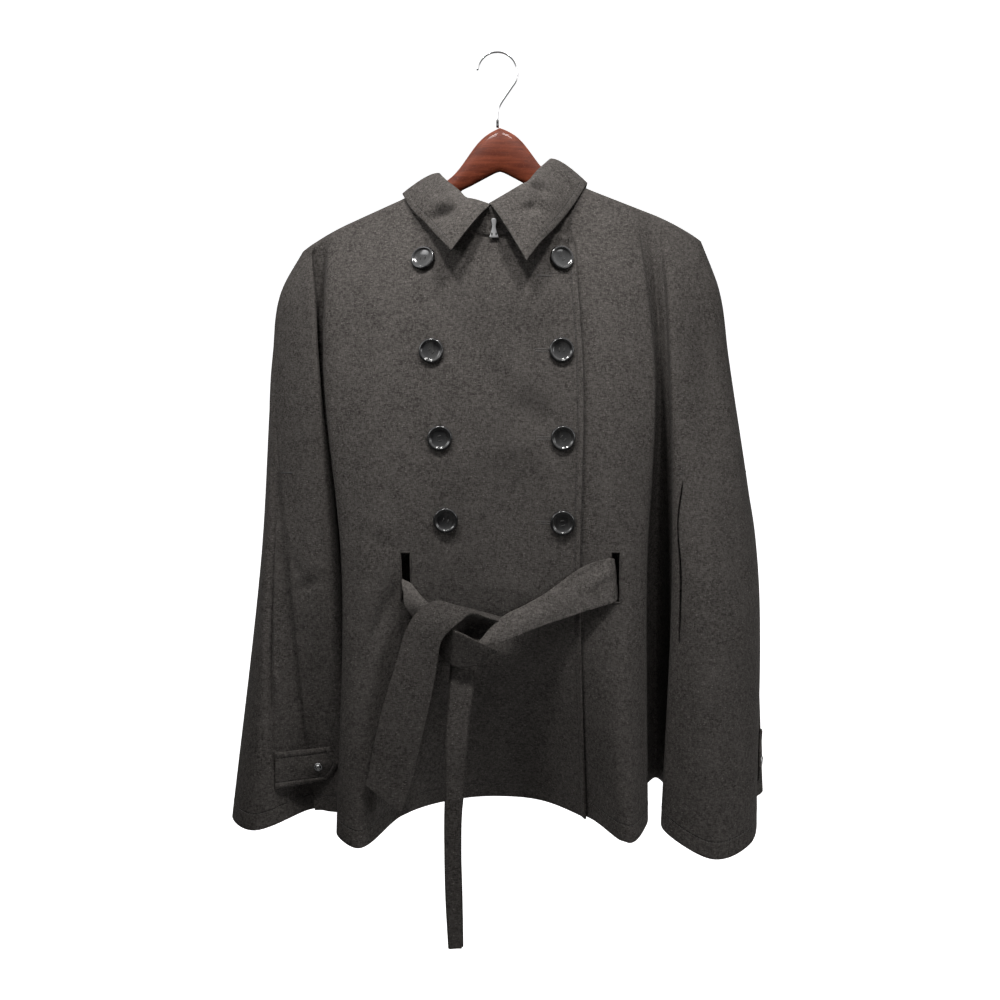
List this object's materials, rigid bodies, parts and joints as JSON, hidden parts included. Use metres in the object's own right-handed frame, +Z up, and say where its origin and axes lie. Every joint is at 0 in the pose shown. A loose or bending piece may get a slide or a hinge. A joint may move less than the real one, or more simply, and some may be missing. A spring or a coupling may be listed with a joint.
{
  "type": "cape coat on a wooden hanger",
  "caption": "Double-breasted wool cape coat with a shirt collar, arm slits, side vents and a knotted tie belt, hung on a curved wooden hanger with a wire hook.",
  "frame": {"origin": "inside top of the hanger's wire hook, where a rail holds it", "axes": "+X to the viewer's right (the wearer's left), -Y to the coat's front, +Z up"},
  "size_m": [0.6466, 0.2579, 1.007],
  "materials": {
    "charcoal_wool": "dark charcoal melton wool with pale flecks and a matt nap",
    "button_horn": "glossy black imitation horn",
    "mahogany_wood": "glossy red-brown varnished wood",
    "hook_chrome": "polished"
  },
  "bodies": {
    "root": {"front_upper": "charcoal_wool", "front_under": "charcoal_wool", "back": "charcoal_wool", "collar_fall": "charcoal_wool", "collar_stand": "charcoal_wool", "tab_left": "charcoal_wool", "tab_right": "charcoal_wool", "belt_run_right": "charcoal_wool", "belt_run_left": "charcoal_wool", "belt_inside": "charcoal_wool", "belt_wide_end": "charcoal_wool", "belt_knot": "charcoal_wool", "belt_narrow_end": "charcoal_wool", "button_left_1": "button_horn", "button_left_2": "button_horn", "button_left_3": "button_horn", "button_left_4": "button_horn", "button_right_1": "button_horn", "button_right_2": "button_horn", "button_right_3": "button_horn", "button_right_4": "button_horn", "hanger_wood": "mahogany_wood", "hanger_hook": "hook_chrome", "neck_hook": "hook_chrome", "snap_left": "hook_chrome", "snap_right": "hook_chrome"}
  },
  "joints": []
}
